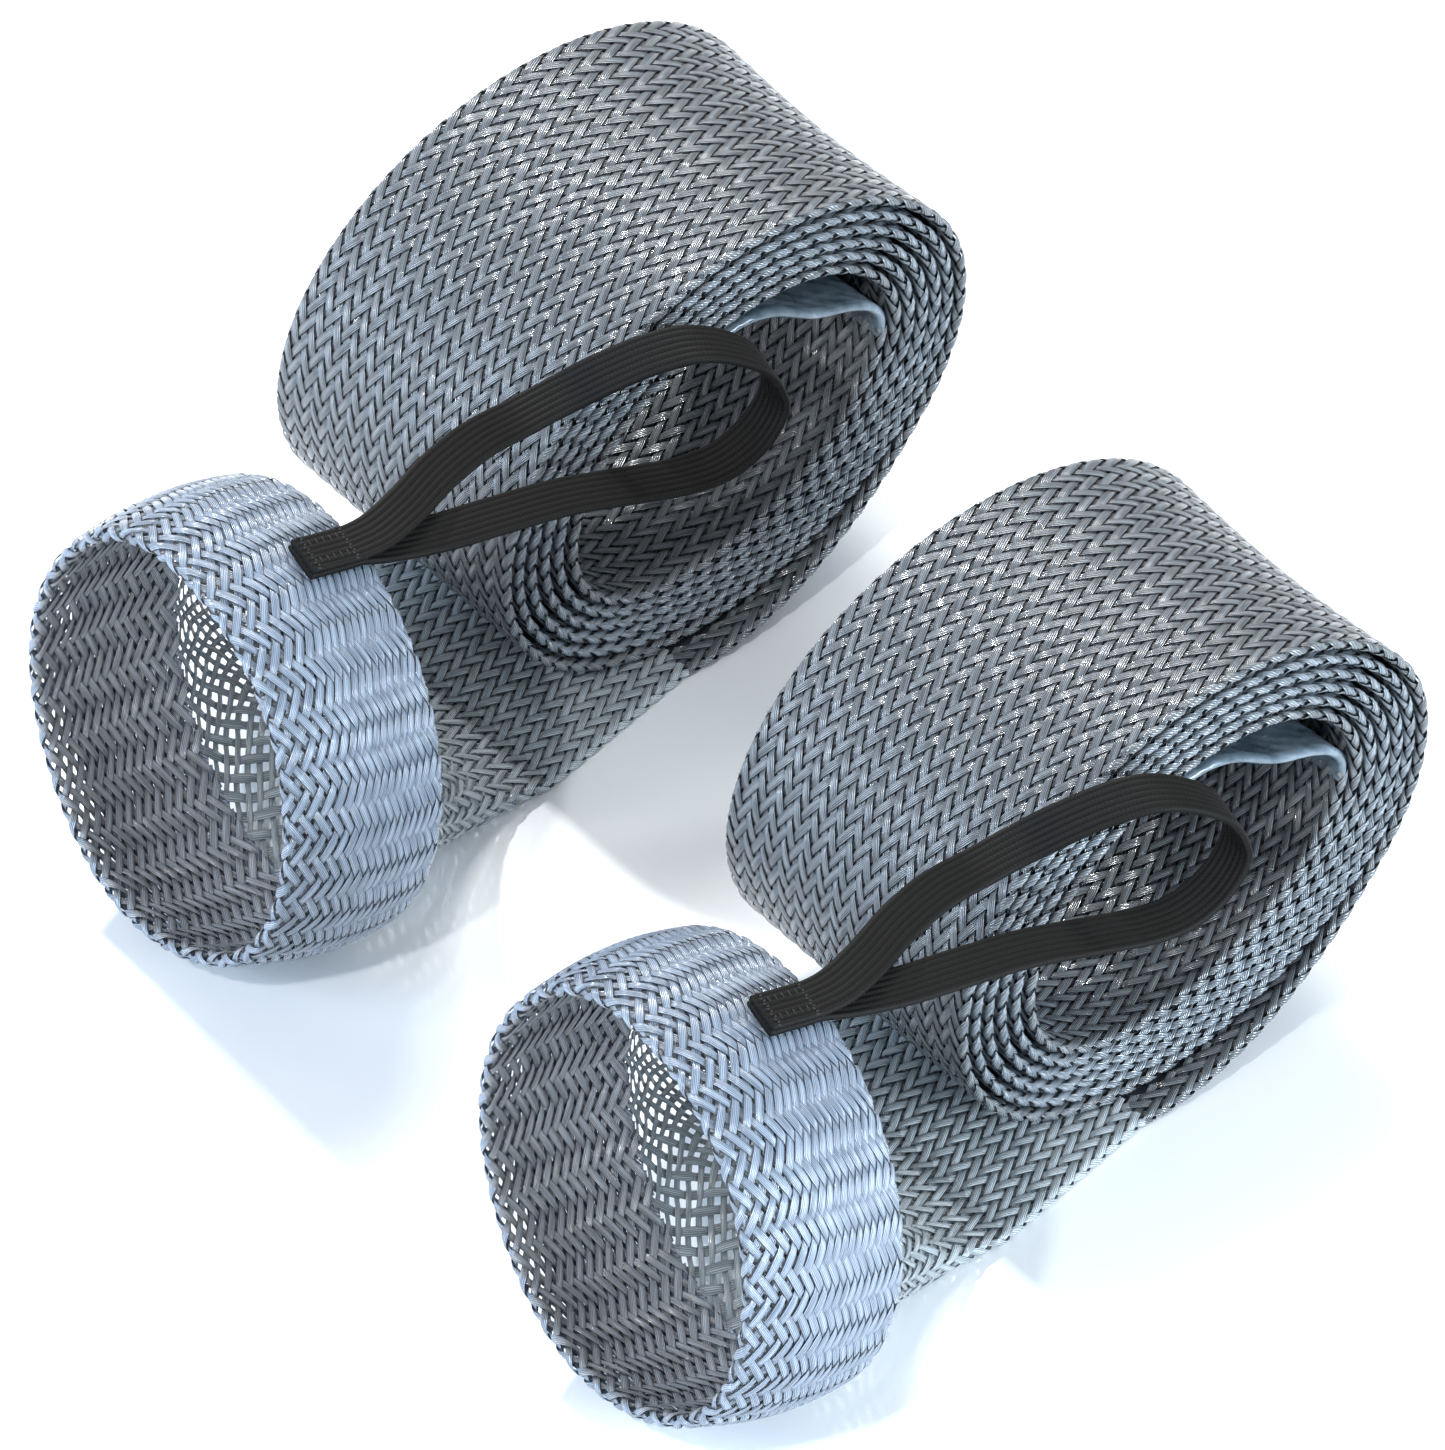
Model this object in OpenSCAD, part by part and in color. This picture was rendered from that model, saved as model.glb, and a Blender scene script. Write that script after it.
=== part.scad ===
// A pair of braided mesh sleeves. Each sleeve is one braided tube, pressed flat and
// wound into an oval roll that lies on its free end. The free end runs along the floor
// and opens into a round mouth, whose last stretch is turned back over itself as a cuff.
// An elastic strap, doubled into a loop, is sewn to the top of the cuff.
// +X runs from the mouth to the roll, +Y along the roll's axis, +Z up. The origin is
// the middle of the underside of the rear sleeve's floor run.

/* [Braided tube] */
// Width of the tube pressed flat
flat_w = 50; // [40:1:60]
// Thickness of the tube pressed flat, both walls together
flat_t = 1.8; // [1.6:0.1:2.4]
// Thickness of one braided wall where the tube stands open
wall_t = 0.7; // [0.4:0.1:0.7]

/* [Turned-back cuff] */
// Outer radius at the rim of the mouth
mouth_r = 29.5; // [24:0.5:36]
// How far the barrel of the cuff swells past the rim
cuff_bulge = 2; // [0:0.5:4]
// Length of the turned-back stretch
cuff_len = 24; // [18:1:32]
// Wall of the cuff, the two layers together
cuff_wall = 2.4; // [1.6:0.2:3.2]
// Angle by which the mouth leans back
cuff_tilt = 8; // [0:1:15]
// Sideways distance from the floor run to the cuff's axis
cuff_side = 24; // [0:1:26]

/* [Neck and floor run] */
// Length of the neck, from the round cuff to the flat run
neck_len = 35; // [28:1:50]
// Length of the flat run on the floor
run_len = 27; // [20:1:50]
// Sideways drift of the run's middle line, over half its length
run_drift = 4; // [0:0.5:6]

/* [Wound roll] */
// Number of turns up to the sealed end
roll_turns = 6.3; // [4.3:1:7.3]
// Spacing from one turn to the next
roll_pitch = 2.15; // [2.1:0.05:2.6]
// Half of the long axis of the outer turn
roll_a = 40; // [36:1:50]
// Half of the short axis, upper side of the outer turn
roll_b_top = 31; // [28:1:38]
// Half of the short axis, lower side of the outer turn
roll_b_low = 28.5; // [26:1:34]
// Lean of the long axis above the floor
roll_tilt = 30; // [10:1:40]
// Sideways place of the roll's middle
roll_side = 8; // [0:0.5:10]
// Share of a turn that the sealed end cuts across
tail_turn = 0.26; // [0.15:0.01:0.3]
// Depth by which the sealed end stands off the turn above it
tail_sag = 5; // [3:0.5:7]

/* [Elastic loop] */
// Width of the elastic strap
strap_w = 6; // [4:0.5:8]
// Thickness of the elastic strap
strap_t = 1.1; // [0.8:0.1:1.4]
// Length of the two strap ends sewn down on the cuff
sewn_len = 8; // [6:0.5:12]
// Clearance between the sewn ends and the braid under them
sewn_seat = 0.25; // [0.1:0.05:0.5]
// Sideways place of the sewn ends, from the cuff's axis
sewn_side = -8; // [-12:0.5:8]
// How far ahead of the cuff's back end the sewn ends stop
sewn_inset = 3; // [0:0.5:8]
// Twist of the strap's width out of the level
strap_twist = 20; // [0:1:30]
// Gap between the sewn ends and the free loop
loop_gap = 0.45; // [0.2:0.05:0.5]

/* [Bar tack] */
// Width of one thread
thread_w = 0.35; // [0.2:0.05:0.5]
// Number of threads across the strap
thread_count = 6; // [3:1:10]

/* [Pair] */
// Distance from the rear sleeve to the front one, along the roll's axis
pair_gap = 106; // [100:1:140]
// Distance by which the front sleeve lies back towards its mouth
pair_shift = 3; // [0:1:10]

/* [Hidden] */

cuff_steps = 8;
rim_steps = 6;
neck_rings = 12;
neck_sides = 32;
neck_gap = 0.3;
turn_steps = 24;
tail_steps = 8;
floor_cut = 0.2;
spline_steps = 3;
twist_rings = 5;

run_x = run_len / 2;

// Cuff: its axis leans, and its back end is where the neck begins
function cuff_r(u) = mouth_r + cuff_bulge * sin(150 * (1 - u));
cuff_z = max([for (i = [0 : cuff_steps])
    cuff_r(i / cuff_steps) * cos(cuff_tilt) - cuff_len * i / cuff_steps * sin(cuff_tilt)]) - floor_cut;
cuff_x = -run_x - neck_len;
rim_r = cuff_wall / 2;

// Neck: an oval section that falls from the cuff's round to the flat run
neck_r = cuff_r(0) - cuff_wall / 2 + wall_t / 2;
function blend(a, b, u) = a + (b - a) * u;
function fall(u) = 1 - pow(1 - u, 2.3);
function neck_half_h(u) = blend(neck_r, flat_t / 2, fall(u));
function neck_half_w(u) = blend(neck_r, flat_w / 2, fall(u));
function neck_y(u) = blend(-cuff_side, -run_drift, fall(u));
function neck_z(u) = neck_half_h(u) + (cuff_z - neck_r) * (1 - u);
function neck_point(u, angle, inset) =
    let (z = (neck_half_h(u) - inset) * sin(angle))
    [cuff_x + neck_gap * (1 - u) + neck_len * u + z * tan(cuff_tilt) * pow(1 - u, 2),
     neck_y(u) + (neck_half_w(u) - inset) * cos(angle),
     neck_z(u) + z];

// Roll: an oval spiral in the X-Z plane, from its lowest point inwards
function roll_b(phi) = sin(phi) < 0 ? roll_b_low : roll_b_top;
low_phi = 180 + atan2(roll_b_low * cos(roll_tilt), roll_a * sin(roll_tilt));
function oval(phi, inward) =
    let (u = (roll_a - inward) * cos(phi), v = (roll_b(phi) - inward) * sin(phi))
    [u * cos(roll_tilt) - v * sin(roll_tilt), u * sin(roll_tilt) + v * cos(roll_tilt)];
roll_centre = [run_x, flat_t / 2] - oval(low_phi, 0);
function spiral(turn, inward = 0) =
    roll_centre + oval(low_phi + 360 * turn, roll_pitch * turn + inward);
function tail(u) = spiral(roll_turns + tail_turn * u, tail_sag * pow(sin(180 * u), 2));
function across(a, b) = let (d = b - a) [-d[1], d[0]] / norm(d);
roll_steps = ceil(roll_turns * turn_steps);
ROLL_LINE = [for (i = [0 : roll_steps]) spiral(roll_turns * i / roll_steps)];
TAIL_LINE = [for (i = [0 : tail_steps]) tail(i / tail_steps)];

// Elastic: where its sewn ends lie on the cuff, and the free loop's middle line
sewn_r = cuff_r(sewn_inset / cuff_len);
sewn_rise = atan2(cuff_r((sewn_inset + sewn_len) / cuff_len) - sewn_r, sewn_len);
sewn_slope = cuff_tilt + sewn_rise;
sewn_turn = asin(-sewn_side / sewn_r);
sewn_up = (sewn_r + sewn_seat) * cos(sewn_turn);
sewn_root = [cuff_x - sewn_inset * cos(cuff_tilt) + sewn_up * sin(cuff_tilt),
             -cuff_side - (sewn_r + sewn_seat) * sin(sewn_turn),
             cuff_z + sewn_inset * sin(cuff_tilt) + sewn_up * cos(cuff_tilt)];
function strap_level(n) = n * strap_t
    * [cos(sewn_turn) * sin(sewn_slope), -sin(sewn_turn), cos(sewn_turn) * cos(sewn_slope)];
LOOP_ROUTE = [
    strap_level(-1.55), [4, 0.3, -3.1], [13, 0.3, -5.6], [23, 1.2, -8.2], [34, 2.4, -11.4],
    [44, 2.8, -14.8], [53.5, 3, -17.8], [60, 3.2, -18.4], [65.5, 3.4, -16], [68.3, 3.6, -11.4],
    [66.5, 4, -5.6], [62, 5, -1.6], [57, 6.5, 0.3], [52, 9, -0.8], [47, 12, -3.6],
    [42.5, 14.8, -6.8], [36, 15.4, -8], [28, 13, -6], [18.5, 8, -3], [10, 3.2, -1.4],
    [4, 0.8, -0.9], strap_level(-0.45)
];

function spline(p, i, u) =
    let (a = p[max(i - 1, 0)], b = p[i], c = p[i + 1], d = p[min(i + 2, len(p) - 1)])
    0.5 * (2 * b + (c - a) * u + (2 * a - 5 * b + 4 * c - d) * u * u
           + (3 * b - a - 3 * c + d) * u * u * u);
LOOP_LINE = [
    for (i = [0 : len(LOOP_ROUTE) - 2]) for (k = [0 : spline_steps - 1])
        spline(LOOP_ROUTE, i, k / spline_steps),
    LOOP_ROUTE[len(LOOP_ROUTE) - 1]
];

// A closed skin over a list of rings, each with the same number of points
module skin(rings) {
    sides = len(rings[0]);
    last = (len(rings) - 1) * sides;
    polyhedron(
        points = [for (ring = rings) each ring],
        faces = [
            [for (i = [0 : sides - 1]) i],
            for (k = [0 : len(rings) - 2]) for (i = [0 : sides - 1])
                let (a = k * sides + i, b = k * sides + (i + 1) % sides)
                each [[a, a + sides, b + sides], [a, b + sides, b]],
            [for (i = [sides - 1 : -1 : 0]) last + i]
        ]);
}

// A band of the flat tube whose middle line is a list of [x, z] points. The points
// before and after it only set the directions of its two end faces
module band(line, before, after) {
    last = len(line) - 1;
    side = [for (i = [0 : last])
        across(i == 0 ? before : line[i - 1], i == last ? after : line[i + 1]) * flat_t / 2];
    translate([0, roll_side, 0]) rotate([90, 0, 0])
        linear_extrude(height = flat_w, center = true)
            polygon([for (i = [0 : last]) line[i] - side[i],
                     for (i = [last : -1 : 0]) line[i] + side[i]]);
}

module in_cuff_axes() {
    translate([cuff_x, -cuff_side, cuff_z]) rotate([0, cuff_tilt - 90, 0]) children();
}

module on_sewn_ends() {
    translate(sewn_root) rotate([0, sewn_slope, 0]) rotate([sewn_turn, 0, 0]) children();
}

module mouth_cuff() {
    outer = [for (i = [0 : cuff_steps])
        let (u = i / cuff_steps) [cuff_r(u), u * (cuff_len - rim_r)]];
    rim = [for (i = [1 : rim_steps - 1])
        let (angle = 180 * i / rim_steps)
        [cuff_r(1) - rim_r + rim_r * cos(angle), cuff_len - rim_r + rim_r * sin(angle)]];
    inner = [for (i = [cuff_steps : -1 : 0])
        let (u = i / cuff_steps) [cuff_r(u) - cuff_wall, u * (cuff_len - rim_r)]];
    color("lightsteelblue") difference() {
        in_cuff_axes() rotate_extrude($fn = 96) polygon(concat(outer, rim, inner));
        translate([cuff_x - 2 * cuff_len, -cuff_side - 2 * mouth_r, -cuff_len])
            cube([4 * cuff_len, 4 * mouth_r, cuff_len]);
    }
}

module neck() {
    outer = [for (k = [0 : neck_rings])
        [for (i = [0 : neck_sides - 1]) neck_point(k / neck_rings, 360 * i / neck_sides, 0)]];
    inner = [for (k = [0 : neck_rings])
        [for (i = [0 : neck_sides - 1]) neck_point(k / neck_rings, 360 * i / neck_sides, wall_t)]];
    rings = concat(outer, [for (k = [neck_rings : -1 : 0]) inner[k]]);
    count = len(rings);
    color("slategray") polyhedron(
        points = [for (ring = rings) each ring],
        faces = [
            for (k = [0 : count - 1]) for (i = [0 : neck_sides - 1])
                let (j = (i + 1) % neck_sides, a = k * neck_sides, b = (k + 1) % count * neck_sides)
                each [[a + i, b + i, b + j], [a + i, b + j, a + j]]
        ]);
}

module floor_run() {
    half_w = flat_w / 2;
    color("slategray") linear_extrude(height = flat_t) polygon([
        [-run_x, -run_drift - half_w], [run_x, run_drift - half_w],
        [run_x, run_drift + half_w], [-run_x, -run_drift + half_w]
    ]);
}

module wound_roll() {
    first_step = ROLL_LINE[1] - ROLL_LINE[0];
    color("dimgray") band(ROLL_LINE, ROLL_LINE[0] + [-first_step[0], first_step[1]], TAIL_LINE[1]);
}

module sealed_end() {
    color("cadetblue") band(TAIL_LINE, ROLL_LINE[roll_steps - 1], TAIL_LINE[tail_steps]);
}

module sewn_ends() {
    color("black") on_sewn_ends() for (layer = [0, 1])
        translate([-sewn_len, -strap_w / 2, layer * strap_t]) cube([sewn_len, strap_w, strap_t]);
}

module bar_tack() {
    step = (sewn_len - 2 * thread_w) / (thread_count - 1);
    color("black") on_sewn_ends() for (i = [0 : thread_count - 1])
        translate([-sewn_len + thread_w / 2 + i * step, -0.45 * strap_w, 2 * strap_t])
            cube([thread_w, 0.9 * strap_w, thread_w]);
}

module elastic_loop() {
    last = len(LOOP_LINE) - 1;
    rings = [for (i = [0 : last])
        let (
            twist = sewn_turn + (strap_twist - sewn_turn) * min(1, min(i, last - i) / twist_rings),
            width = [0, cos(twist), sin(twist)],
            along = LOOP_LINE[min(i + 1, last)] - LOOP_LINE[max(i - 1, 0)],
            t = along / norm(along),
            flat = width - (width * t) * t,
            w = flat / norm(flat) * strap_w / 2,
            n = cross(t, w) / norm(w) * strap_t / 2)
        [for (corner = [[1, 1], [1, -1], [-1, -1], [-1, 1]])
            LOOP_LINE[i] + corner[0] * w + corner[1] * n]];
    color("black") translate(sewn_root + strap_level(2) + [loop_gap, 0, 0]) skin(rings);
}

module rear() {
    children();
}

module front() {
    translate([-pair_shift, -pair_gap, 0]) children();
}

rear() mouth_cuff();  // rear_mouth_cuff
rear() neck();  // rear_neck
rear() floor_run();  // rear_floor_run
rear() wound_roll();  // rear_wound_roll
rear() sealed_end();  // rear_sealed_end
rear() sewn_ends();  // rear_sewn_ends
rear() bar_tack();  // rear_bar_tack
rear() elastic_loop();  // rear_elastic_loop
front() mouth_cuff();  // front_mouth_cuff
front() neck();  // front_neck
front() floor_run();  // front_floor_run
front() wound_roll();  // front_wound_roll
front() sealed_end();  // front_sealed_end
front() sewn_ends();  // front_sewn_ends
front() bar_tack();  // front_bar_tack
front() elastic_loop();  // front_elastic_loop
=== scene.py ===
import bmesh
import bpy
import math
import numpy as np
from mathutils import Matrix, Vector


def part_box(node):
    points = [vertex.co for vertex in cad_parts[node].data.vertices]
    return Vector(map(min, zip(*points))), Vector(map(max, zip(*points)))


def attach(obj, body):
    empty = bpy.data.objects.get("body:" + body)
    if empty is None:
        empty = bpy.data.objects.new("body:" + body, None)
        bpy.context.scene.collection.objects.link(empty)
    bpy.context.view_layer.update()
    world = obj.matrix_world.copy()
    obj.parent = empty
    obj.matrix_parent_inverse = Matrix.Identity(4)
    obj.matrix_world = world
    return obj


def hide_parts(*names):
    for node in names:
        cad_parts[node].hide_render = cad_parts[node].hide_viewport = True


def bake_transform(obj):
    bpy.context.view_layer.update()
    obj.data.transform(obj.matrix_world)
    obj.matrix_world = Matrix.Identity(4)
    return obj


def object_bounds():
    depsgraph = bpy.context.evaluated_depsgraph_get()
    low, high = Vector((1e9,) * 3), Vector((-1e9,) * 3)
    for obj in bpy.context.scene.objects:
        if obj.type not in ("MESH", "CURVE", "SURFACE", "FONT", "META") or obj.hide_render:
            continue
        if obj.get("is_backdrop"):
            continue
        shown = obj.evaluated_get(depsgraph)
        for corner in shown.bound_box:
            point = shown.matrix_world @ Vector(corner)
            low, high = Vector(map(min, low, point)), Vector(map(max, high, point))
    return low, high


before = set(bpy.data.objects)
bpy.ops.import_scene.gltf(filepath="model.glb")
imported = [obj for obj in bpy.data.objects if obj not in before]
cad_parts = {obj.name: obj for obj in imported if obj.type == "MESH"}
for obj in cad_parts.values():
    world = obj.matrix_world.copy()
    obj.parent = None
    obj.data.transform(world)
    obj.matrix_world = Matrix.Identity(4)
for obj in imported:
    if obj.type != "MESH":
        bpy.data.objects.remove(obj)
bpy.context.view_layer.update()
MM = 0.001


# Camera, floor and light
# A long lens looks down on the pair from the mouths' side, over a plain pale floor, with
# cool window-like light on the left and in front, and a large soft one overhead.
VIEW_HEADING = math.radians(35.3)
VIEW_ELEVATION = math.radians(41.0)
VIEW_AIM = Vector((18.3, -22.4, -8.9)) * MM
VIEW_DISTANCE = 4.0
VIEW_FIELD = 190.0 * MM
FLOOR_HALF = 4.0
to_camera = Vector((-math.sin(VIEW_HEADING) * math.cos(VIEW_ELEVATION),
                    -math.cos(VIEW_HEADING) * math.cos(VIEW_ELEVATION), math.sin(VIEW_ELEVATION)))
camera = bpy.data.objects.new("camera", bpy.data.cameras.new("camera"))
camera.location = VIEW_AIM + to_camera * VIEW_DISTANCE
camera.rotation_euler = to_camera.to_track_quat("Z", "Y").to_euler()
camera.data.lens = camera.data.sensor_width * VIEW_DISTANCE / VIEW_FIELD
camera.data.clip_end = 20
bpy.context.scene.collection.objects.link(camera)
bpy.context.scene.camera = camera
bpy.context.scene.view_settings.view_transform = "Standard"


def area_light(name, place, size, power, colour):
    """A square lamp that faces the pair."""
    light = bpy.data.objects.new(name, bpy.data.lights.new(name, "AREA"))
    light.data.size = size
    light.data.energy = power
    light.data.color = colour
    light.location = place
    light.rotation_euler = (Vector(place) - VIEW_AIM).to_track_quat("Z", "Y").to_euler()
    bpy.context.scene.collection.objects.link(light)


area_light("light_overhead", (0.35, 0.45, 0.95), 0.40, 8.0, (1.0, 0.98, 0.95))
area_light("light_left", (-0.90, 0.20, 0.35), 0.45, 10.0, (0.62, 0.79, 1.0))
area_light("light_front", (0.25, -1.0, 0.28), 0.5, 19.0, (0.76, 0.89, 1.0))
area_light("light_glint_back", (0.05, 0.75, 0.75), 0.05, 8.0, (1.0, 1.0, 1.0))
area_light("light_glint_left", (-0.70, -0.45, 0.85), 0.05, 4.5, (1.0, 1.0, 1.0))
world = bpy.data.worlds.new("studio")
world.use_nodes = True
world.node_tree.nodes["Background"].inputs["Color"].default_value = (0.93, 0.96, 1.0, 1)
world.node_tree.nodes["Background"].inputs["Strength"].default_value = 0.5
bpy.context.scene.world = world

bm = bmesh.new()
bmesh.ops.create_grid(bm, x_segments=1, y_segments=1, size=FLOOR_HALF)
floor_mesh = bpy.data.meshes.new("floor")
bm.to_mesh(floor_mesh)
bm.free()
floor = bpy.data.objects.new("floor", floor_mesh)
bpy.context.scene.collection.objects.link(floor)
floor_paint = bpy.data.materials.new("floor")
floor_paint.use_nodes = True
floor_shader = floor_paint.node_tree.nodes["Principled BSDF"]
floor_shader.inputs["Base Color"].default_value = (0.87, 0.885, 0.9, 1)
floor_shader.inputs["Roughness"].default_value = 0.6
floor_mesh.materials.append(floor_paint)
floor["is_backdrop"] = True


# Braided tube: its course
# Each sleeve is one braided tube. It is followed from the cut edge of its turned-back end:
# out along the outside of the cuff, round the rim, back inside, through the neck to the
# flat run on the floor, and up into the roll. All its sizes are in millimetres.
flat_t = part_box("rear_floor_run")[1][2] / MM
run_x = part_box("rear_floor_run")[1][0] / MM
flat_w = 50.0
wall_half = 0.4
open_wall = 0.7

mouth_r = 29.5
cuff_bulge = 2.0
cuff_len = 24.0
cuff_wall = 2.4
cuff_tilt = math.radians(8)
cuff_steps = 8
floor_cut = 0.2
hem_len = 1.3
hem_drop = 1.0
oval = 0.35
ripple = 0.22

neck_len = 35.0
neck_fall = 2.3
flat_ratio = 0.08
round_ratio = 0.58
run_drift = 4.0

roll_pitch = 2.15
roll_turns = 6.3
roll_a = 40.0
roll_b_top = 31.0
roll_b_low = 28.5
roll_tilt_near = math.radians(31.5)
roll_tilt_far = math.radians(24)
roll_waist = 1.2
waist_angle = 0.3
roll_side = 8.0
side_ease = 0.2
stagger = 0.35
tail_turn = 0.26
tail_sag = 5.0

cuff_x = -run_x - neck_len
cuff_y = (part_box("rear_mouth_cuff")[0][1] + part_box("rear_mouth_cuff")[1][1]) / 2 / MM
barrel_len = cuff_len - cuff_wall / 2
fold_r = cuff_wall / 2 - wall_half
half_w_flat = flat_w / 2 - wall_half
half_t_flat = flat_t / 2 - wall_half


def cuff_r(u):
    """The cuff's outer radius, from its back end at 0 to its rim at 1."""
    return mouth_r + cuff_bulge * np.sin(np.radians(150 * (1 - u)))


cuff_z = max(float(cuff_r(i / cuff_steps)) * math.cos(cuff_tilt)
             - cuff_len * i / cuff_steps * math.sin(cuff_tilt) for i in range(cuff_steps + 1)) - floor_cut
neck_r = float(cuff_r(0)) - cuff_wall / 2 + open_wall / 2


def ease(u):
    return u * u * (3 - 2 * u)


def stadium(half_w, half_h, phi):
    """A flat tube's section: two straight walls and two round folds, evenly paced."""
    phi = np.mod(phi, 2 * np.pi)
    upper = phi < np.pi
    half = np.where(upper, phi, 2 * np.pi - phi)
    far = half < np.pi / 2
    quarter = np.where(far, half, np.pi - half)
    straight = half_w - half_h
    bend = np.pi / 2 * half_h
    way = quarter / (np.pi / 2) * (straight + bend)
    turn = np.minimum(way / half_h, np.pi / 2)
    across = np.where(way < bend, straight + half_h * np.cos(turn), straight - (way - bend))
    return np.where(far, across, -across), np.where(upper, 1, -1) * half_h * np.sin(turn)


def roll_point(turn, share, inward):
    """The roll's middle line in the X-Z plane, at a share of the width from near to far."""
    tilt = roll_tilt_near + (roll_tilt_far - roll_tilt_near) * share
    low = np.pi + np.arctan2(roll_b_low * np.cos(tilt), roll_a * np.sin(tilt))
    angle = low + 2 * np.pi * turn
    waist = roll_waist * np.sin(np.pi * share) * np.maximum(np.cos(angle - waist_angle), 0)
    inner = roll_pitch * turn + inward + waist
    u = (roll_a - inner) * np.cos(angle) - roll_a * np.cos(low)
    roll_b = np.where(np.sin(angle) < 0, roll_b_low, roll_b_top)
    v = (roll_b - inner) * np.sin(angle) - roll_b_low * np.sin(low)
    return run_x + u * np.cos(tilt) - v * np.sin(tilt), flat_t / 2 + u * np.sin(tilt) + v * np.cos(tilt)


def tail_inward(turn):
    """How far the sealed end hangs in from the turn above it."""
    return tail_sag * np.sin(np.pi * np.clip((turn - roll_turns) / tail_turn, 0, 1)) ** 2


turn_table = np.linspace(0, roll_turns + tail_turn, 4000)
roll_x, roll_z = roll_point(turn_table, 0.5, tail_inward(turn_table))
roll_way = np.concatenate([[0], np.cumsum(np.hypot(np.diff(roll_x), np.diff(roll_z)))])

S_RIM = barrel_len
S_INSIDE = S_RIM + np.pi * fold_r
S_NECK = S_INSIDE + barrel_len
S_RUN = S_NECK + neck_len
S_ROLL = S_RUN + 2 * run_x
S_SEAL = S_ROLL + float(np.interp(roll_turns, turn_table, roll_way))
S_END = S_ROLL + roll_way[-1]


def cuff_point(s, phi, inset):
    """The turned-back outside, the rim and the inside of the cuff, on a leaning axis."""
    outside = s < S_RIM
    rim = ~outside & (s < S_INSIDE)
    angle = np.clip((s - S_RIM) / fold_r, 0, np.pi)
    ahead = np.where(outside, s, np.where(rim, barrel_len + fold_r * np.sin(angle), S_NECK - s))
    u = np.clip(ahead / barrel_len, 0, 1)
    neck_step = neck_r - float(cuff_r(0)) + cuff_wall - 2 * wall_half
    inner_r = cuff_r(u) - cuff_wall + wall_half + neck_step * (1 - u) ** 2
    rim_r = cuff_r(1) - cuff_wall / 2 + fold_r * np.cos(angle)
    radius = np.where(outside, cuff_r(u) - wall_half, np.where(rim, rim_r, inner_r))
    hem = np.clip(1 - ahead / hem_len, 0, 1)
    radius = radius - np.where(outside, hem_drop * (1 - np.sqrt(1 - hem * hem)), 0)
    radius = radius + oval * np.sin(2 * phi + 0.7) + ripple * np.sin(5 * phi + 1.9) * u
    side, up = radius * np.cos(phi), radius * np.sin(phi)
    return np.stack([cuff_x - ahead * math.cos(cuff_tilt) + up * math.sin(cuff_tilt), cuff_y + side,
                     cuff_z + ahead * math.sin(cuff_tilt) + up * math.cos(cuff_tilt)], axis=1)


def neck_point(s, phi, inset):
    """The open stretch, from round at the cuff to flat on the floor."""
    u = (s - S_NECK) / neck_len
    fall = 1 - (1 - u) ** neck_fall
    half_h = neck_r + (flat_t / 2 - neck_r) * fall
    half_w = neck_r + (flat_w / 2 - neck_r) * fall - wall_half
    side, up = stadium(half_w, half_h - wall_half, phi)
    round_share = ease(np.clip((half_h / half_w - flat_ratio) / (round_ratio - flat_ratio), 0, 1))
    side = side + (half_w * np.cos(phi) - side) * round_share
    up = up + ((half_h - wall_half) * np.sin(phi) - up) * round_share
    swell = 1 + oval * np.sin(2 * phi + 0.7) * (1 - u) ** 2 / neck_r
    return np.stack([cuff_x + neck_len * u + up * math.tan(cuff_tilt) * (1 - u) ** 2,
                     cuff_y + (-run_drift - cuff_y) * fall + side * swell,
                     half_h + (cuff_z - neck_r) * (1 - u) + up * swell], axis=1)


def run_point(s, phi, inset):
    """The flat stretch on the floor."""
    side, up = stadium(half_w_flat - inset, half_t_flat - inset, phi)
    u = (s - S_RUN) / (2 * run_x)
    return np.stack([-run_x + 2 * run_x * u, -run_drift + 2 * run_drift * u + side, flat_t / 2 + up], axis=1)


def wound_point(s, phi, inset):
    """The flat band in the roll, and its inner end that cuts across the roll's hollow."""
    side, out = stadium(half_w_flat - inset, half_t_flat - inset, phi)
    turn = np.interp(s - S_ROLL, roll_way, turn_table)
    share = np.clip(0.5 + side / flat_w, 0, 1)
    step = 0.002
    x0, z0 = roll_point(turn - step, share, tail_inward(turn - step))
    x1, z1 = roll_point(turn + step, share, tail_inward(turn + step))
    length = np.hypot(x1 - x0, z1 - z0)
    shift = stagger * np.sin(2.2 * np.pi * turn + 0.6) * np.minimum(turn, 1)
    middle = run_drift + (roll_side - run_drift) * ease(np.clip(turn / side_ease, 0, 1)) + shift
    return np.stack([(x0 + x1) / 2 - (z1 - z0) / length * out, middle + side,
                     (z0 + z1) / 2 + (x1 - x0) / length * out], axis=1)


def tube_point(s, phi, inset=0.0):
    """Points on the middle of the tube's wall, or an inset from it, at distances s along the
    tube and angles phi round it: 0 at the far fold, a quarter turn at the top wall."""
    s, phi = np.broadcast_arrays(np.asarray(s, float), np.asarray(phi, float))
    place = np.zeros(s.shape + (3,))
    for start, stop, stretch in ((-math.inf, S_NECK, cuff_point), (S_NECK, S_RUN, neck_point),
                                 (S_RUN, S_ROLL, run_point), (S_ROLL, math.inf, wound_point)):
        here = (s >= start) & (s < stop)
        place[here] = stretch(s[here], phi[here], inset)
    return place


# Braided tube: its strands
# Two sets of flat strands, each a bundle of five fine monofilaments side by side, cross
# two over and two under. A strand's length from one crossing to the next is fixed, so
# the braid opens and shortens where the tube is wide and closes where it is flat.
STRANDS = 56
CROSSING_STEP = 1.83
RIM_OPENNESS = 0.14
NECK_OPENNESS = 0.22
WIDEST_SHARE = 0.96
STRAND_WIDTH = 1.22
CLOSEST_SHARE = 0.97
DIP_NARROWING = 0.2
WAVE_HEIGHT = 0.2
WAVE_SQUARENESS = 2.2
STRAND_CROWN = 0.15
FLOOR_CLEARANCE = 0.05

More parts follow.
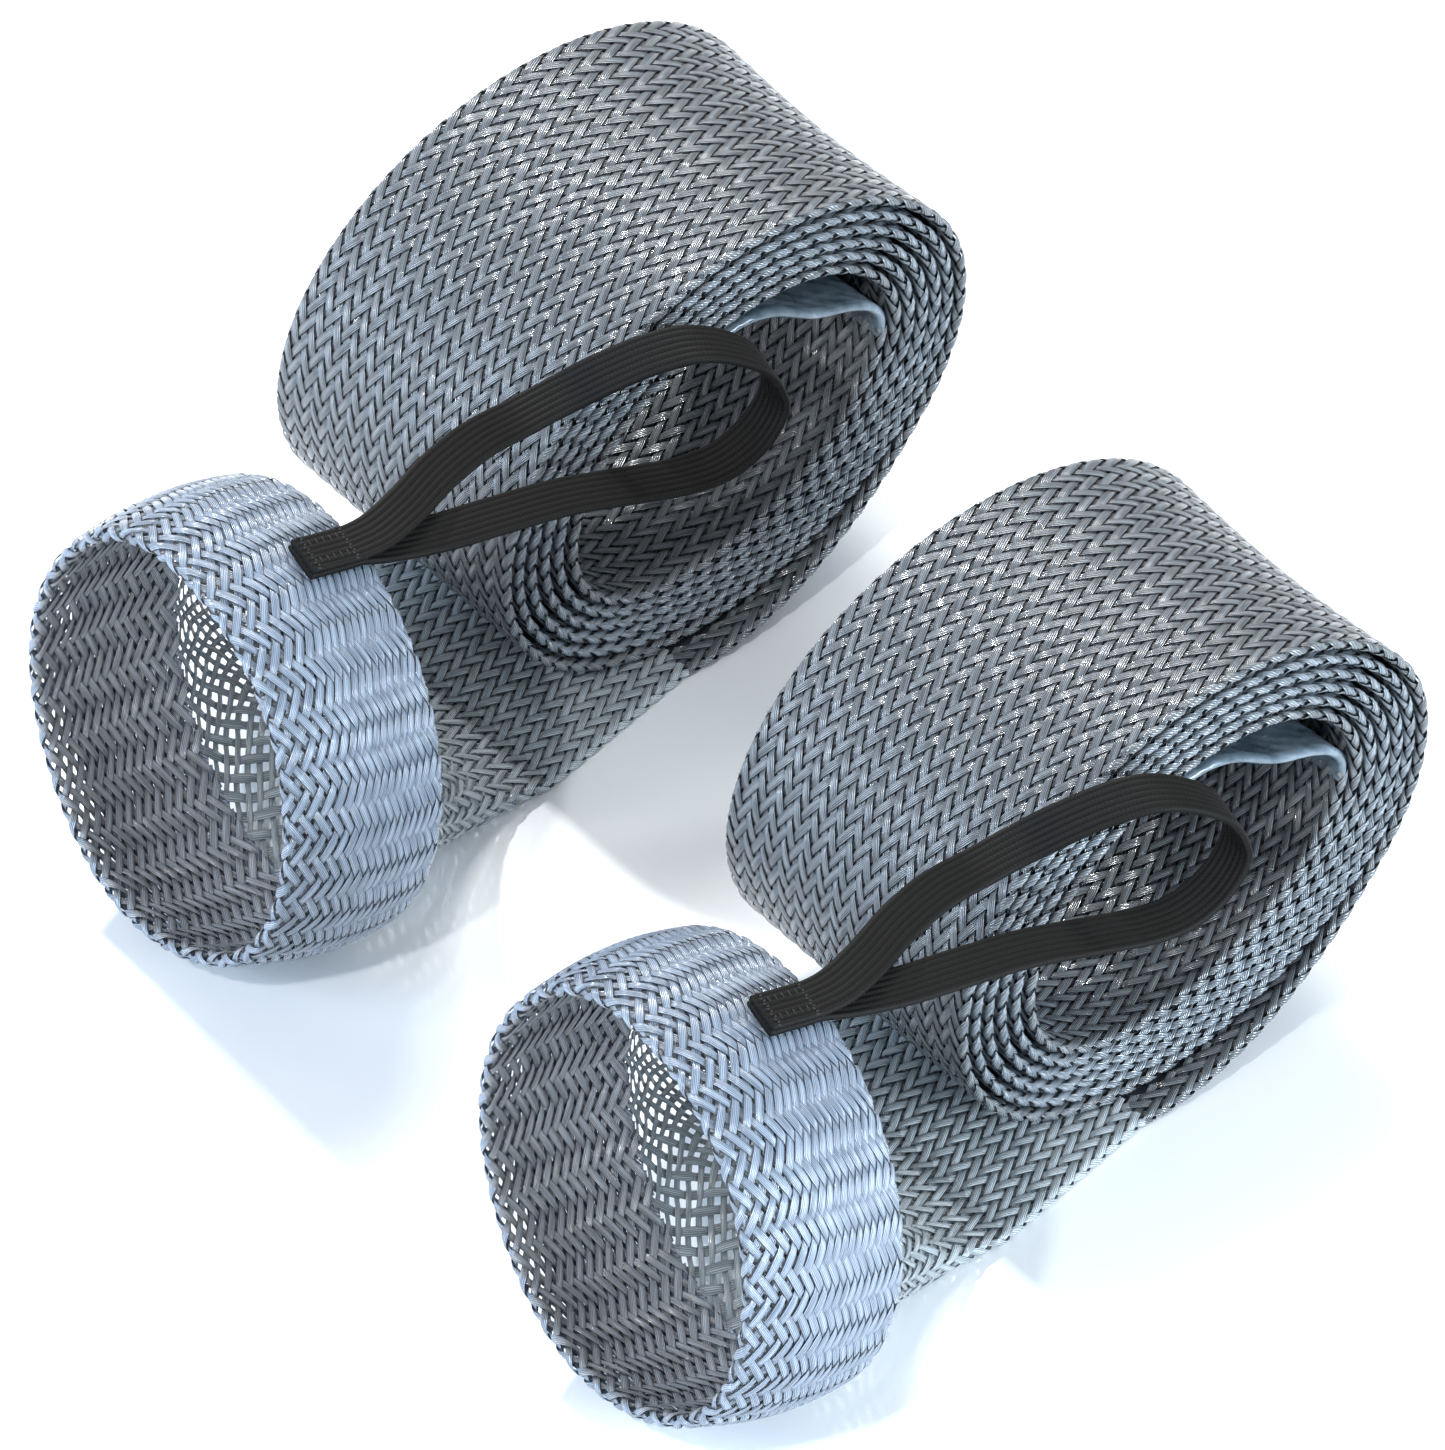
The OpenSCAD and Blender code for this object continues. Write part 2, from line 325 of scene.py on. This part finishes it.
way_table = np.linspace(0, S_END, 1600)
rings = tube_point(way_table[:, None], np.linspace(0, 2 * np.pi, 400)[None, :])
girth_table = np.linalg.norm(np.diff(rings, axis=1), axis=2).sum(axis=1)
girth_table[way_table > S_RUN] = 4 * (half_w_flat - half_t_flat) + 2 * np.pi * half_t_flat
crossing_table = (CROSSING_STEP + RIM_OPENNESS * np.exp(-((way_table - S_RIM) / 6) ** 2)
                  + NECK_OPENNESS * np.exp(-((way_table - S_NECK - 8) / 12) ** 2))
row_step_table = np.sqrt(crossing_table ** 2
                         - np.minimum(girth_table / 2 / STRANDS, WIDEST_SHARE * crossing_table) ** 2)
step_pairs = row_step_table[1:] + row_step_table[:-1]
row_table = np.concatenate([[0], np.cumsum(2 * np.diff(way_table) / step_pairs)])


def row_at(s):
    """The row of crossings nearest to a distance along the tube."""
    return int(round(float(np.interp(s, way_table, row_table))))


def unevenness(strand, row, amount):
    """A slow, fixed wander of each strand."""
    return amount * (np.sin(row * 0.31 + strand * 2.4) + 0.6 * np.sin(row * 0.83 + strand * 5.1))


def lay_map(mesh, name, places):
    """A UV map from one place for each vertex."""
    loops = np.empty(len(mesh.loops), int)
    mesh.loops.foreach_get("vertex_index", loops)
    layer = mesh.uv_layers.new(name=name)
    layer.data.foreach_set("uv", places[loops].astype(np.float32).ravel())


def bake_margin(u, v):
    """Places from 0 to 1, kept just off the map's edges."""
    return 0.002 + 0.996 * np.stack([u, v], axis=1)


def braid(name, first, last, row_steps, cross_steps, columns=(), strand_width=STRAND_WIDTH):
    """All strands from one row of crossings to another, as one mesh. Of the 2 x STRANDS
    columns of crossings round the tube, it keeps those in columns, given as (middle,
    half-width), or every one."""
    rows = last - first
    bm = bmesh.new()
    bmesh.ops.create_grid(bm, x_segments=rows * row_steps, y_segments=cross_steps, size=0.5)
    one_strand = bm.verts[:] + bm.edges[:] + bm.faces[:]
    for number in range(1, 2 * STRANDS):
        copy = bmesh.ops.duplicate(bm, geom=one_strand)["geom"]
        verts = [item for item in copy if isinstance(item, bmesh.types.BMVert)]
        bmesh.ops.translate(bm, verts=verts, vec=(0, 2 * number, 0))
    if columns:
        hidden = []
        for face in bm.faces:
            centre = face.calc_center_median()
            strand = round(centre.y / 2)
            row = first + (centre.x + 0.5) * rows
            column = (2 * strand + row) if strand < STRANDS else (2 * (strand - STRANDS) - row)
            if all(abs((column - middle + STRANDS) % (2 * STRANDS) - STRANDS) > half
                   for middle, half in columns):
                hidden.append(face)
        bmesh.ops.delete(bm, geom=hidden, context="FACES")
    mesh = bpy.data.meshes.new(name)
    bm.to_mesh(mesh)
    bm.free()
    flat = np.empty(len(mesh.vertices) * 3)
    mesh.vertices.foreach_get("co", flat)
    flat = flat.reshape(-1, 3)

    # each strand's line, and its width and height where it passes over and under
    strand = np.round(flat[:, 1] / 2)
    across = flat[:, 1] - 2 * strand
    row = first + (flat[:, 0] + 0.5) * rows
    hand = np.where(strand < STRANDS, 1.0, -1.0)
    index = np.where(strand < STRANDS, strand, strand - STRANDS)
    column = 2 * index + hand * row
    s = np.interp(row, row_table, way_table)
    row_step = np.interp(s, way_table, row_step_table)
    girth = np.interp(s, way_table, girth_table)
    crossing = np.interp(s, way_table, crossing_table)
    spacing = girth / STRANDS * row_step / crossing
    dip = np.minimum(1, 1.3 * np.abs(np.cos(np.pi / 2 * (column - 0.5))))
    width = np.minimum(strand_width, CLOSEST_SHARE * spacing) * (1 + unevenness(strand, row, 0.025))
    width = width * (1 - DIP_NARROWING + DIP_NARROWING * dip)
    side = across * width * row_step / crossing + unevenness(strand, row * 0.7, 0.035)
    phi = np.pi * column / STRANDS + side * 2 * np.pi / girth
    s = s - across * width * hand * np.sqrt(crossing ** 2 - row_step ** 2) / crossing
    crossed = index + phi * STRANDS / (2 * np.pi) + hand * np.interp(s, way_table, row_table) / 2
    wave = (hand * np.tanh(WAVE_SQUARENESS * np.cos(np.pi / 2 * (crossed - 0.5)))
            / math.tanh(WAVE_SQUARENESS))
    height = WAVE_HEIGHT * wave + STRAND_CROWN * wave * (0.6 - (2 * across) ** 2)

    # the tube's wall there, and its outward direction
    s = np.clip(s, 0, S_END)
    nudge = 0.02
    along = tube_point(np.clip(s + nudge, 0, S_END), phi) - tube_point(np.clip(s - nudge, 0, S_END), phi)
    around = tube_point(s, phi + nudge / 10) - tube_point(s, phi - nudge / 10)
    outward = np.cross(around, along)
    outward /= np.linalg.norm(outward, axis=1)[:, None]
    place = tube_point(s, phi) + outward * height[:, None]
    place[:, 2] = np.maximum(place[:, 2], FLOOR_CLEARANCE)
    mesh.vertices.foreach_set("co", (place * MM).ravel())
    lay_map(mesh, "strand", np.stack([row, across + 0.5], axis=1))
    lay_map(mesh, "OFBake", bake_margin(flat[:, 0] + 0.5, (strand + 0.5 + 0.9 * across) / (2 * STRANDS)))
    chance = mesh.attributes.new("chance", "FLOAT", "POINT")
    chance.data.foreach_set("value", np.mod(np.sin(strand * 12.9898) * 43758.5453, 1).astype(np.float32))
    mesh.polygons.foreach_set("use_smooth", np.ones(len(mesh.polygons), bool))
    mesh.update()
    return mesh


# Cuff
# The open end of the tube, rolled back over itself: two layers of braid that hold each
# other open. It is not sewn. Outside it catches the cool light, and its strands are also
# painted lighter and bluer than the roll's as painted light. Inside, its strands are painted
# greyer and lighter than the roll's as painted light.
SIDES = ("rear", "front")
CUFF_STRAND_WIDTH = 1.12
LINING_STRAND_WIDTH = 1.08
FILAMENTS = 5
RELIEF_DEPTH = 0.09 * MM
pair_step = Vector(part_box("front_floor_run")[0]) - Vector(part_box("rear_floor_run")[0])


class Value:
    """A socket that adds Math nodes to its tree when it is used in an expression."""

    def __init__(self, tree, socket):
        self.tree = tree
        self.socket = socket

    def maths(self, operation, *others, swap=False):
        node = self.tree.nodes.new("ShaderNodeMath")
        node.operation = operation
        items = [self, *others]
        if swap:
            items.reverse()
        for slot, item in zip(node.inputs, items):
            set_slot(self.tree, slot, item)
        return Value(self.tree, node.outputs[0])

    def __add__(self, other): return self.maths("ADD", other)
    def __radd__(self, other): return self.maths("ADD", other)
    def __mul__(self, other): return self.maths("MULTIPLY", other)
    def __rmul__(self, other): return self.maths("MULTIPLY", other)
    def __sub__(self, other): return self.maths("SUBTRACT", other)
    def __rsub__(self, other): return self.maths("SUBTRACT", other, swap=True)


def set_slot(tree, slot, item):
    """Link a Value to a socket, or set the socket to a plain number or colour."""
    if isinstance(item, Value):
        tree.links.new(item.socket, slot)
    else:
        slot.default_value = item


class Finish:
    """A material and its nodes."""

    def __init__(self, name):
        self.material = bpy.data.materials.new(name)
        self.material.use_nodes = True
        self.tree = self.material.node_tree
        self.shader = self.tree.nodes["Principled BSDF"]

    def node(self, kind, settings=(), **inputs):
        """A node with its settings made first, then its inputs, by name."""
        node = self.tree.nodes.new(kind)
        for key, value in dict(settings).items():
            setattr(node, key, value)
        for key, item in inputs.items():
            set_slot(self.tree, node.inputs[key], item)
        return node

    def value(self, kind, output, settings=(), **inputs):
        return Value(self.tree, self.node(kind, settings, **inputs).outputs[output])

    def mix(self, share, dark, light):
        node = self.node("ShaderNodeMix", {"data_type": "RGBA"})
        for slot, item in ((0, share), (6, dark), (7, light)):
            set_slot(self.tree, node.inputs[slot], item)
        return Value(self.tree, node.outputs[2])

    def map_parts(self, name):
        """The two numbers of a UV map."""
        parts = self.node("ShaderNodeSeparateXYZ", Vector=self.value("ShaderNodeUVMap", 0, {"uv_map": name}))
        return Value(self.tree, parts.outputs[0]), Value(self.tree, parts.outputs[1])

    def feed(self, slot, item):
        set_slot(self.tree, self.shader.inputs[slot], item)

    def feed_relief(self, height, strength, depth):
        self.feed("Normal", self.value("ShaderNodeBump", 0, Strength=strength, Distance=depth, Height=height))


def strand_finish(name, dark, light, painted_groove_shade):
    """Glossy monofilament strands: fine ridges lie side by side on each. Between the
    ridges and towards each strand's edges the colour darkens to a painted shade.
    """
    finish = Finish(name)
    along, across = finish.map_parts("strand")
    chance = finish.value("ShaderNodeAttribute", 2, {"attribute_name": "chance"})
    ridge = (across * (FILAMENTS * math.pi)).maths("SINE").maths("ABSOLUTE")
    filament = (across * float(FILAMENTS)).maths("FLOOR")
    tone = (filament * 7.31 + chance * 91.7).maths("SINE") * 0.5 + 0.5
    drift = (along * 0.9 + chance * 40.0 + filament * 1.7).maths("SINE") * 0.5 + 0.5
    skin = finish.mix(tone * 0.45 + drift * 0.3 + chance * 0.25, dark, light)
    edge_shade = ((across - 0.5) * 1.9).maths("POWER", 4.0) * -0.75 + 1.0
    # Painted shade: the colour darkens to the groove colour between the filaments and towards the strand's
    # edges.
    finish.feed("Base Color", finish.mix(ridge.maths("POWER", 0.55) * edge_shade, painted_groove_shade, skin))
    spark = (along * 1.3 + chance * 63.0).maths("SINE").maths("POWER", 6.0)
    finish.feed("Roughness", 0.27 - tone * 0.1 - spark * 0.09)
    finish.feed("Specular IOR Level", 0.9)
    finish.feed_relief(ridge.maths("POWER", 0.6), 0.8, RELIEF_DEPTH)
    return finish.material


def both_sleeves(name, mesh, material, stands_for=(), body="sleeve"):
    """The piece on the rear sleeve and its copy on the front one. It rides on that sleeve's
    body, unless body is None."""
    mesh.materials.clear()
    mesh.materials.append(material)
    made = []
    for side in SIDES:
        copy = mesh if side == "rear" else mesh.copy()
        if side == "front":
            copy.transform(Matrix.Translation(pair_step))
        piece = bpy.data.objects.new(f"{side}_{name}", copy)
        copy.name = piece.name
        bpy.context.scene.collection.objects.link(piece)
        if body:
            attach(piece, f"{side}_{body}")
        if stands_for:
            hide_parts(*[f"{side}_{node}" for node in stands_for])
        made.append(piece)
    return made


row_inside = row_at((S_RIM + S_INSIDE) / 2 + 1)
row_neck = row_at(S_NECK)
# Painted light: the cuff's outside strands are lighter and bluer than the roll's, and the lining's lighter
# and greyer.
cuff_braid = strand_finish("cuff_braid", dark=(0.145, 0.185, 0.24, 1), light=(0.36, 0.43, 0.53, 1),
                           painted_groove_shade=(0.025, 0.034, 0.052, 1))
lining_braid_painted_light = strand_finish("lining_braid_painted_light", dark=(0.23, 0.245, 0.265, 1), light=(0.5, 0.52, 0.55, 1),
                             painted_groove_shade=(0.06, 0.065, 0.075, 1))
both_sleeves("cuff_outside", braid("cuff_outside", 0, row_inside, 3, 4, strand_width=CUFF_STRAND_WIDTH),
             cuff_braid, ["mouth_cuff"])
both_sleeves("cuff_inside", braid("cuff_inside", row_inside, row_neck, 3, 4,
                                  strand_width=LINING_STRAND_WIDTH), lining_braid_painted_light)


# Neck
# The single layer of open braid behind the cuff, from round to flat. Its holes are wide
# enough to see through. Its strands catch the light from behind, and they are also painted
# lighter than the roll's strands as painted light.
NECK_STRAND_WIDTH = 1.12
row_run = row_at(S_RUN)
neck_braid_painted_light = strand_finish("neck_braid_painted_light", dark=(0.26, 0.29, 0.31, 1), light=(0.54, 0.6, 0.63, 1),
                           painted_groove_shade=(0.04, 0.048, 0.056, 1))
both_sleeves("neck_strands", braid("neck_strands", row_neck, row_run, 3, 4, strand_width=NECK_STRAND_WIDTH),
             neck_braid_painted_light, ["neck"])


# Floor run
# The flat stretch on the floor between the neck and the roll, which lies on it. Its strands
# are painted the palest of the braid, as painted light.
RUN_STRAND_WIDTH = 1.25
row_roll = row_at(S_ROLL)
run_braid_painted_light = strand_finish("run_braid_painted_light", dark=(0.34, 0.385, 0.41, 1), light=(0.6, 0.66, 0.69, 1),
                          painted_groove_shade=(0.065, 0.077, 0.09, 1))
both_sleeves("floor_run_strands", braid("floor_run_strands", row_run, row_roll, 3, 4,
                                        strand_width=RUN_STRAND_WIDTH),
             run_braid_painted_light, ["floor_run"])


# Wound roll
# The flat tube wound on itself in oval turns. Of the outer turn the outer wall shows, of
# the last turn the inner wall, and of the turns between only the folds on both sides.
FAR_FOLD = 0
INNER_WALL = STRANDS / 2
NEAR_FOLD = STRANDS
OUTER_WALL = 1.5 * STRANDS
WALL_HALF_COLUMNS = 33
FOLD_HALF_COLUMNS = 6
INNER_STRETCHES = 3
one_turn = row_at(S_ROLL + float(np.interp(1.04, turn_table, roll_way)))
row_last_turn = row_at(S_ROLL + float(np.interp(roll_turns - 1.05, turn_table, roll_way)))
row_seal = row_at(S_SEAL)
half_turn = (row_roll + one_turn) // 2
roll_braid = strand_finish("roll_braid", dark=(0.08, 0.09, 0.102, 1), light=(0.24, 0.262, 0.28, 1),
                           painted_groove_shade=(0.013, 0.017, 0.023, 1))
# Painted highlight: the folds' strands are lighter and bluer than the walls', as light along the fold edges.
edge_braid_painted_light = strand_finish("edge_braid_painted_light", dark=(0.11, 0.13, 0.15, 1), light=(0.3, 0.34, 0.38, 1),
                           painted_groove_shade=(0.025, 0.031, 0.04, 1))
outer_wall = [(OUTER_WALL, WALL_HALF_COLUMNS)]
both_sleeves("outer_turn_low", braid("outer_turn_low", row_roll, half_turn, 3, 4, outer_wall),
             roll_braid, ["wound_roll"])
both_sleeves("outer_turn_high", braid("outer_turn_high", half_turn, one_turn, 3, 4, outer_wall),
             roll_braid)
for i in range(INNER_STRETCHES):
    start, stop = (one_turn + (row_last_turn - one_turn) * n // INNER_STRETCHES for n in (i, i + 1))
    turns = braid("inner_turns", start, stop, 2, 3,
                  [(NEAR_FOLD, FOLD_HALF_COLUMNS), (FAR_FOLD, FOLD_HALF_COLUMNS)])
    both_sleeves(f"inner_turns_{i + 1}", turns, edge_braid_painted_light)
inner_wall = [(INNER_WALL, WALL_HALF_COLUMNS)]
both_sleeves("last_turn", braid("last_turn", row_last_turn, row_seal, 3, 3, inner_wall),
             roll_braid)


# Middle of the roll
# Between the two walls of the flat tube lies only shade. The same tube, drawn thinner and
# without its strands, stands for the walls of the middle turns, which nothing can see.
MIDDLE_INSET = 0.32


def plain_tube(name, start, stop, steps, sides, inset):
    """A closed tube along the same course, with no strands on it."""
    bm = bmesh.new()
    bmesh.ops.create_grid(bm, x_segments=steps, y_segments=sides, size=0.5)
    mesh = bpy.data.meshes.new(name)
    bm.to_mesh(mesh)
    flat = np.empty(len(mesh.vertices) * 3)
    mesh.vertices.foreach_get("co", flat)
    flat = flat.reshape(-1, 3)
    place = tube_point(start + (flat[:, 0] + 0.5) * (stop - start), (0.5 - flat[:, 1]) * 2 * np.pi, inset)
    mesh.vertices.foreach_set("co", (place * MM).ravel())
    lay_map(mesh, "OFBake", bake_margin(flat[:, 0] + 0.5, flat[:, 1] + 0.5))
    close_seam(bm, mesh, 1e-6)
    return mesh


def close_seam(bm, mesh, reach):
    """Join a rolled-up grid's two long edges, and close its ends."""
    bm.clear()
    bm.from_mesh(mesh)
    bmesh.ops.remove_doubles(bm, verts=bm.verts, dist=reach)
    bmesh.ops.holes_fill(bm, edges=[edge for edge in bm.edges if edge.is_boundary], sides=0)
    for face in bm.faces:
        face.smooth = True
    bmesh.ops.recalc_face_normals(bm, faces=bm.faces)
    bm.to_mesh(mesh)
    bm.free()


# Painted shade: the plain tube is near black, so the gaps between strands show the shade inside the tube.
shade = Finish("shade")
shade_grain = shade.value("ShaderNodeTexNoise", 0, Scale=900.0, Detail=2.0)
shade.feed("Base Color", shade.mix(shade_grain, (0.012, 0.015, 0.02, 1), (0.03, 0.036, 0.045, 1)))
shade.feed("Roughness", 0.8)
both_sleeves("tube_middle", plain_tube("tube_middle", S_ROLL - 2, S_SEAL - 0.5, 900, 24, MIDDLE_INSET),
             shade.material)


# Sealed end
# The tube's inner end, melted flat into a smooth, glassy flap. It leaves the last turn and
# sags across the roll's hollow; the braid shows through only as faint ridges.
SEAL_SWELL = 0.15
SEAL_RELIEF = 0.35 * MM
seal = Finish("seal")
seal_place = seal.value("ShaderNodeTexCoord", "Object")
cloud = seal.value("ShaderNodeTexNoise", 0, Vector=seal_place, Scale=170.0, Detail=4.0, Roughness=0.6)
ridges = seal.value("ShaderNodeTexWave", 1, {"wave_type": "BANDS", "bands_direction": "DIAGONAL"},
                    Vector=seal_place, Scale=260.0, Distortion=3.0)
seal.feed("Base Color", seal.mix((cloud - 0.35) * 2.6, (0.05, 0.075, 0.095, 1), (0.19, 0.24, 0.29, 1)))
seal.feed("Roughness", cloud * 0.35 + 0.06)
seal.feed("Coat Weight", 0.4)
seal.feed_relief(cloud + ridges * 0.25, 0.5, SEAL_RELIEF)
both_sleeves("sealed_flap", plain_tube("sealed_flap", S_SEAL - 1.5, S_END, 120, 96, -SEAL_SWELL),
             seal.material, ["sealed_end"])


# Elastic strap
# One ribbed elastic, 6 mm wide. Its two ends lie on each other on top of the cuff, and
# the free length between them stands out over the roll as a loop that twists at its root.
strap_w = 6.0
strap_t = 1.1
strap_ribs = 7
strap_twist = math.radians(20)
twist_len = 9.0
rib_groove = 0.26
sewn_len = 8.0
sewn_side = -8.0
sewn_inset = 3.0
sewn_seat = 0.25
loop_gap = 0.45
BEND_LEN = 5.0
BEND_DROP = 1.2
STRAP_RINGS = 300
STRAP_SIDES = 60
ELASTIC_RELIEF = 0.1 * MM
sewn_r = float(cuff_r(sewn_inset / cuff_len))
sewn_slope = cuff_tilt + math.atan2(float(cuff_r((sewn_inset + sewn_len) / cuff_len)) - sewn_r, sewn_len)
sewn_turn = math.asin(-sewn_side / sewn_r)
sewn_up = (sewn_r + sewn_seat) * math.cos(sewn_turn)
sewn_root = np.array([cuff_x - sewn_inset * math.cos(cuff_tilt) + sewn_up * math.sin(cuff_tilt),
                      cuff_y - (sewn_r + sewn_seat) * math.sin(sewn_turn),
                      cuff_z + sewn_inset * math.sin(cuff_tilt) + sewn_up * math.cos(cuff_tilt)])
lie = np.array([math.cos(sewn_slope), 0, -math.sin(sewn_slope)])
lean = np.array([math.sin(sewn_turn) * math.sin(sewn_slope), math.cos(sewn_turn),
                 math.sin(sewn_turn) * math.cos(sewn_slope)])
stack = strap_t * np.cross(lie, lean)
loop_root = sewn_root + 2 * stack + np.array([loop_gap, 0, 0])
LOOP_ROUTE = ((4, 0.3, -3.1), (13, 0.3, -5.6), (23, 1.2, -8.2), (34, 2.4, -11.4), (44, 2.8, -14.8),
              (53.5, 3, -17.8), (60, 3.2, -18.4), (65.5, 3.4, -16), (68.3, 3.6, -11.4), (66.5, 4, -5.6),
              (62, 5, -1.6), (57, 6.5, 0.3), (52, 9, -0.8), (47, 12, -3.6), (42.5, 14.8, -6.8),
              (36, 15.4, -8), (28, 13, -6), (18.5, 8, -3), (10, 3.2, -1.4), (4, 0.8, -0.9))
route = np.array([sewn_root + lie * back + 0.5 * stack for back in (-8, -6, -4, -2)]
                 + [loop_root - 1.55 * stack]
                 + [loop_root + np.array(point) for point in LOOP_ROUTE]
                 + [loop_root - 0.45 * stack]
                 + [sewn_root + lie * back + 1.5 * stack for back in (-2, -4, -6, -8)])


def along_route(points, where):
    """Points and directions on a smooth curve through the points, at shares of their count."""
    i = np.clip(np.floor(where * (len(points) - 1)).astype(int), 0, len(points) - 2)
    u = (where * (len(points) - 1) - i)[:, None]
    a, b, c, d = (points[np.clip(i + n, 0, len(points) - 1)] for n in (-1, 0, 1, 2))
    place = 0.5 * (2 * b + (c - a) * u + (2 * a - 5 * b + 4 * c - d) * u ** 2
                   + (3 * b - a - 3 * c + d) * u ** 3)
    way = 0.5 * ((c - a) + 2 * (2 * a - 5 * b + 4 * c - d) * u + 3 * (3 * b - a - 3 * c + d) * u ** 2)
    return place, way / np.linalg.norm(way, axis=1)[:, None]


bm = bmesh.new()
bmesh.ops.create_grid(bm, x_segments=STRAP_RINGS, y_segments=STRAP_SIDES, size=0.5)
strap_mesh = bpy.data.meshes.new("strap")
bm.to_mesh(strap_mesh)
flat = np.empty(len(strap_mesh.vertices) * 3)
strap_mesh.vertices.foreach_get("co", flat)
flat = flat.reshape(-1, 3)
place, way = along_route(route, flat[:, 0] + 0.5)
steps = np.linspace(0, 1, 1000)
step_ways = np.linalg.norm(np.diff(along_route(route, steps)[0], axis=0), axis=1)
measured = np.concatenate([[0], np.cumsum(step_ways)])
length = np.interp(flat[:, 0] + 0.5, steps, measured)
from_root = np.minimum(length, measured[-1] - length) - sewn_len - 0.3
twist = sewn_turn + (strap_twist - sewn_turn) * ease(np.clip(from_root / twist_len, 0, 1))
wide = np.stack([0 * twist, np.cos(twist), np.sin(twist)], axis=1)
wide -= way * (wide * way).sum(axis=1)[:, None]
wide /= np.linalg.norm(wide, axis=1)[:, None]
thick = np.cross(way, wide)
turn = (flat[:, 1] + 0.5) * 4
top = turn < 2
across = np.where(top, turn - 1, 3 - turn)
height = strap_t / 2 * np.clip(1 - np.abs(across) ** 8, 0, 1) ** 0.4
rib_height = np.abs(np.sin(strap_ribs * np.pi * (across + 1) / 2)) ** 0.7
height = np.where(top, 1, -1) * height * (1 - rib_groove + rib_groove * rib_height)
place = place + wide * (across * strap_w / 2)[:, None] + thick * height[:, None]
strap_mesh.vertices.foreach_set("co", (place * MM).ravel())
lay_map(strap_mesh, "ribs", np.stack([length, turn], axis=1))
lay_map(strap_mesh, "OFBake", bake_margin(flat[:, 0] + 0.5, flat[:, 1] + 0.5))
close_seam(bm, strap_mesh, 2e-6)

elastic = Finish("elastic")
down, over = elastic.map_parts("ribs")
rib = (over * (strap_ribs * math.pi / 2)).maths("SINE").maths("ABSOLUTE")
knit = (down * 11.0 + rib * 2.6).maths("SINE") * 0.5 + 0.5
worn = elastic.value("ShaderNodeTexNoise", 0, Scale=420.0, Detail=3.0)
elastic.feed("Base Color", elastic.mix(rib * 0.6 + knit * 0.2 + worn * 0.2, (0.0012, 0.0011, 0.001, 1),
                                       (0.0095, 0.0088, 0.008, 1)))
elastic.feed("Roughness", 0.75 - rib * 0.2)
elastic.feed("Specular IOR Level", 0.12)
elastic.feed_relief(rib * 0.6 + knit * 0.4, 0.7, ELASTIC_RELIEF)
straps = both_sleeves("elastic_strap", strap_mesh, elastic.material,
                      ["sewn_ends", "elastic_loop"], body=None)
for side, strap in zip(SIDES, straps):
    root = Vector(loop_root * MM) + (pair_step if side == "front" else Vector())
    tuple(root + Vector((-0.2, 0, 0)) * MM)
    tuple(root + Vector((BEND_LEN, 0, -BEND_DROP)) * MM)
    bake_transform(strap)


# Bar tack
# Black sewing thread that holds the strap's two ends down: a close row of stitches across
# the strap at each end of the sewn box, and two lengthwise rows that join them.
THREAD_WIDTH = 0.34
THREAD_HEIGHT = 0.4
STITCH_SINK = 0.06
CROSS_ROWS = (-7.1, -1.0)
CROSS_COUNT = 13
CROSS_HALF = 2.7
CROSS_STITCH = 0.62
ZIGZAG = 0.12
ZIGZAG_ANGLE = 12
LONG_ROWS = (-1.45, 1.45)
LONG_COUNT = 5
LONG_START = -6.2
LONG_RUN = 4.3
LONG_STITCH = 1.0
stitches = []
for row_place in CROSS_ROWS:
    for i in range(CROSS_COUNT):
        swing = 1 if i % 2 else -1
        stitches.append((row_place + ZIGZAG * swing, CROSS_HALF * (2 * i / (CROSS_COUNT - 1) - 1),
                         180 + ZIGZAG_ANGLE * swing, CROSS_STITCH))
for row_place in LONG_ROWS:
    for i in range(LONG_COUNT):
        stitches.append((LONG_START + LONG_RUN * i / (LONG_COUNT - 1), row_place, 90, LONG_STITCH))

bm = bmesh.new()
bmesh.ops.create_uvsphere(bm, u_segments=8, v_segments=6, radius=0.5)
one_stitch = bpy.data.meshes.new("one_stitch")
bm.to_mesh(one_stitch)
bm.clear()
strap_axes = Matrix((Vector(lie), Vector(lean), Vector(stack / strap_t))).transposed().to_4x4()
on_strap = Matrix.Translation(Vector(sewn_root) * MM) @ strap_axes
for x, y, angle, size in stitches:
    before = len(bm.verts)
    bm.from_mesh(one_stitch)
    bm.verts.ensure_lookup_table()
    laid = (on_strap @ Matrix.Translation(Vector((x, y, 2 * strap_t - STITCH_SINK)) * MM)
            @ Matrix.Rotation(math.radians(angle), 4, "Z")
            @ Matrix.Diagonal((size * MM, THREAD_WIDTH * MM, THREAD_HEIGHT * MM, 1)))
    bmesh.ops.transform(bm, matrix=laid, verts=bm.verts[before:])
for face in bm.faces:
    face.smooth = True
tack_mesh = bpy.data.meshes.new("bar_tack")
bm.to_mesh(tack_mesh)
bm.free()
thread = Finish("thread")
thread_grain = thread.value("ShaderNodeTexNoise", 0, Scale=2400.0, Detail=2.0)
thread.feed("Base Color", thread.mix(thread_grain, (0.003, 0.003, 0.003, 1), (0.02, 0.019, 0.018, 1)))
thread.feed("Roughness", thread_grain * 0.3 + 0.45)
thread.feed("Specular IOR Level", 0.3)
both_sleeves("bar_tack_stitches", tack_mesh, thread.material, ["bar_tack"])


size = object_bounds()
